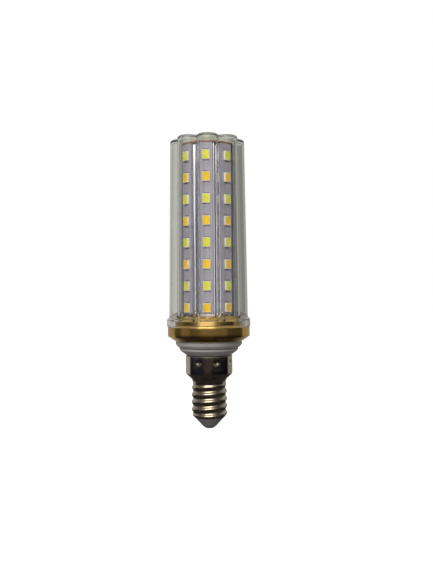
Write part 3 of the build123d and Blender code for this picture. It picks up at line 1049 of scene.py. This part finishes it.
# What metal and clear plastic see, as bearings in degrees with sRGB hex: 0 is in front of the
# bulb, 90 to its right and 180 behind it
NEAR_FLOOR = """
    -180 BEBBB4  -106 BEBBB4  -102 1B1C26  -80 181C2E  -32 1E2233  -20 37312D
    10 35302C  20 121216  102 0F0F13  106 96938A  180 AAA79F"""
ROOM = """
    -180 B4B1AB  -110 ABA7A0  -106 5A5855  -84 5A5855  -78 8A8782  -56 86837E  -50 625E5A
    -28 6E6A65  -18 8C8781  46 7E7974  56 555250  104 4C4A48  109 ABA7A0  180 B4B1AB"""
UPPER_ROOM = """
    -180 D8D5CF  -110 9A9791  -80 4A4846  -60 5E5B57
    60 5A5753  75 3A3938  110 9A9791  180 D8D5CF"""
WINDOW = """
    -180 000000  -66 000000  -40 6E6658  -27 FFF6E0
    10 FFF6E0  24 6E6658  50 000000  180 000000"""
THROUGH = """
    -180 DCDBD8  -156 D4D3CF  -132 A9A8A5  -104 8C8B8C  -84 565557  -58 525153  -36 8A898C
    -22 FFFFFF  8 FFFFFF  24 A09FA2  44 5C5B5E  86 2E2D2E  98 B6B5BC
    112 6E6D6B  136 B9B9B5  156 8F8E8A  172 96958F  180 DCDBD8"""


def by_bearing(tree, x, y, stops):
    """A colour by the bearing of (x, y) from the bulb's front."""
    bearing = calculate(tree, "ARCTAN2", x, calculate(tree, "MULTIPLY", y, -1.0))
    inputs = {0: spread(tree, bearing, -pi, pi)}
    ramp = add_node(tree, "ShaderNodeValToRGB", inputs)
    elements = ramp.color_ramp.elements
    elements[0].position, elements[1].position = 0.0, 1.0
    words = stops.split()
    for degrees in words[2:-2:2]:
        elements.new((int(degrees) + 180) / 360)
    for element, code in zip(elements, words[1::2]):
        element.color = from_hex(code)
    return ramp.outputs[0]


def scaled(tree, colour, factor):
    """A colour made stronger, past white where the factor asks for it."""
    inputs = {0: colour, "Scale": factor}
    return add_node(tree, "ShaderNodeVectorMath", inputs, operation="SCALE").outputs[0]


def through_cover(tree, x, y):
    """What the cover bends into view, with the lower part of the window in it."""
    glow = scaled(tree, by_bearing(tree, x, y, WINDOW), 0.9)
    return blend(tree, 1.0, by_bearing(tree, x, y, THROUGH), glow, "ADD")


def studio_world(settings):
    """White for the camera, a light and dark room for metal and plastic, and an even fill."""
    world = bpy.data.worlds.new("studio")
    bpy.context.scene.world = world
    world.cycles.sampling_method = "NONE"
    tree = empty_tree(world)
    x, y, z = split(tree, add_node(tree, "ShaderNodeTexCoord").outputs["Generated"])

    def upwards(low, high, first, second):
        """From the first colour to the second as a ray points higher up."""
        return blend(tree, spread(tree, z, low, high), first, second)

    room, upper_room = by_bearing(tree, x, y, ROOM), by_bearing(tree, x, y, UPPER_ROOM)
    mirror = upwards(0.12, 0.3, room, upper_room)
    clear = upwards(0.3, 0.6, through_cover(tree, x, y), from_hex("DDDCD8"))
    # The window in front, a little to the left, is what thread and gold glint with
    window = upwards(0.28, 0.42, BLACK, by_bearing(tree, x, y, WINDOW))
    window = upwards(0.66, 0.8, window, BLACK)
    mirror = blend(tree, 1.0, mirror, scaled(tree, window, 4.5), "ADD")
    # Inside the cover only the gold's rounded edges look up far enough to catch its upper part
    upper = upwards(0.42, 0.55, BLACK, window)
    clear = blend(tree, 1.0, clear, scaled(tree, upper, 3.0), "ADD")
    fill = (settings.fill, settings.fill, settings.fill * 1.02, 1)
    fill = blend(tree, spread(tree, z, 0.0, 0.7, 0.2, 1.0), BLACK, fill)
    path = add_node(tree, "ShaderNodeLightPath").outputs
    colour = blend(tree, path["Is Glossy Ray"], fill, mirror)
    colour = blend(tree, path["Is Transmission Ray"], colour, clear)
    colour = blend(tree, path["Is Camera Ray"], colour, WHITE)
    sky = add_node(tree, "ShaderNodeBackground", {"Color": colour, "Strength": 1.0})
    add_node(tree, "ShaderNodeOutputWorld", {0: sky.outputs[0]})


def lamp(name, place, size, power):
    """A soft lamp for diffuse surfaces. Metal and plastic see the world's window in its place."""
    light = bpy.data.lights.new(name, "AREA")
    light.shape = "RECTANGLE"
    light.size, light.size_y = size
    light.energy = power
    obj = linked(name, light)
    middle = Vector((0, 0, 0.06))
    obj.location = place
    obj.rotation_euler = (middle - Vector(place)).to_track_quat("-Z", "Y").to_euler()
    obj.visible_transmission = False
    obj.visible_glossy = False


def paper_floor():
    """White paper with the bulb's soft shadow for the camera, and the room in it for metal."""
    material = bpy.data.materials.new("white_paper")
    tree = empty_tree(material)

    def emission(colour, strength):
        return add_node(tree, "ShaderNodeEmission", {"Color": colour, "Strength": strength})

    where = place_on(tree)
    x, y, z = split(tree, where)
    fibres = spread(tree, grain(tree, where, 4.0, 4.0), 0.3, 0.7)
    shade = blend(tree, fibres, (0.52, 0.52, 0.52, 1), (0.48, 0.48, 0.48, 1))
    lit = add_node(tree, "ShaderNodeBsdfDiffuse", {"Color": shade}).outputs[0]
    glow = emission(WHITE, 0.86).outputs[0]
    seen = add_node(tree, "ShaderNodeAddShader", {0: lit, 1: glow})
    # Light that the paper throws back up is kept low, so that undersides stay in shade
    bounced = add_node(tree, "ShaderNodeBsdfDiffuse", {"Color": (0.2, 0.2, 0.2, 1)})
    away = add_node(tree, "ShaderNodeVectorMath", {0: where}, operation="LENGTH").outputs["Value"]
    near, far = by_bearing(tree, x, y, NEAR_FLOOR), by_bearing(tree, x, y, ROOM)
    room = blend(tree, spread(tree, away, 0.3, 0.45), near, far)
    # Close round the bulb, metal sees the paper as a dark brown: painted shade under the bulb
    room = blend(tree, spread(tree, away, 0.03, 0.09), from_hex("35302B"), room)
    kinds = {
        "Is Glossy Ray": emission(room, 1.0),
        "Is Transmission Ray": emission(through_cover(tree, x, y), 1.0),
        "Is Camera Ray": seen,
    }
    path = add_node(tree, "ShaderNodeLightPath").outputs
    surface = bounced
    for kind, shader in kinds.items():
        shaders = {0: path[kind], 1: surface.outputs[0], 2: shader.outputs[0]}
        surface = add_node(tree, "ShaderNodeMixShader", shaders)
    add_node(tree, "ShaderNodeOutputMaterial", {"Surface": surface.outputs[0]})
    half = 1.5
    corners = [(-half, -half, 0), (half, -half, 0), (half, half, 0), (-half, half, 0)]
    piece("floor", corners, [(0, 1, 2, 3)], material)


class BULB_OT_stage(bpy.types.Operator):
    """Builds the floor, the lamps and the camera."""

    bl_idname = "bulb.stage"
    bl_label = "Stage"

    def execute(self, context):
        settings = context.scene.bulb.stage
        context.scene.view_settings.view_transform = "Standard"
        studio_world(settings)
        paper_floor()
        lamp("key", (-0.1, -0.42, 0.36), (0.35, 0.2), settings.key)
        lamp("left", (-0.45, -0.15, 0.35), (0.3, 0.3), settings.key * 0.08)
        lamp("back", (0.05, 0.45, 0.42), (0.4, 0.25), settings.key * 0.4)
        data = bpy.data.cameras.new("camera")
        data.lens = settings.lens
        data.sensor_width = 36
        data.shift_y = 0.0107
        data.clip_start, data.clip_end = 0.01, 20
        camera = linked("camera", data)
        camera.location = (settings.aside, -settings.distance, settings.height)
        camera.rotation_euler = Matrix.Rotation(pi / 2, 3, "X").to_euler()
        camera.rotation_euler.rotate_axis("Z", settings.roll)
        context.scene.camera = camera
        return {"FINISHED"}


STEPS = (BULB_OT_stage, BULB_OT_cover, BULB_OT_collar, BULB_OT_neck)
STEPS += (BULB_OT_cap, BULB_OT_core, BULB_OT_leds, BULB_OT_boards)


class BULB_PT_panel(bpy.types.Panel):
    """Lists the bulb's steps and settings."""

    bl_idname = "BULB_PT_panel"
    bl_label = "LED bulb"
    bl_space_type = "VIEW_3D"
    bl_region_type = "UI"
    bl_category = "Bulb"

    def draw(self, context):
        for step in STEPS:
            self.layout.operator(step.bl_idname)
        for group in ("cover", "metal", "core", "stage"):
            settings = getattr(context.scene.bulb, group)
            box = self.layout.box()
            for name in settings.__annotations__:
                box.prop(settings, name)


CLASSES = (CoverSettings, MetalSettings, CoreSettings, StageSettings, BulbSettings)
CLASSES += (*STEPS, BULB_PT_panel)


def register():
    for each in CLASSES:
        bpy.utils.register_class(each)
    bpy.types.Scene.bulb = PointerProperty(
        type=BulbSettings, name="Bulb", description="The bulb's settings"
    )


def unregister():
    del bpy.types.Scene.bulb
    for each in reversed(CLASSES):
        bpy.utils.unregister_class(each)


def main():
    """Runs every step in order."""
    register()
    for step in STEPS:
        group, name = step.bl_idname.split(".")
        getattr(getattr(bpy.ops, group), name)()


if __name__ == "__main__":
    main()
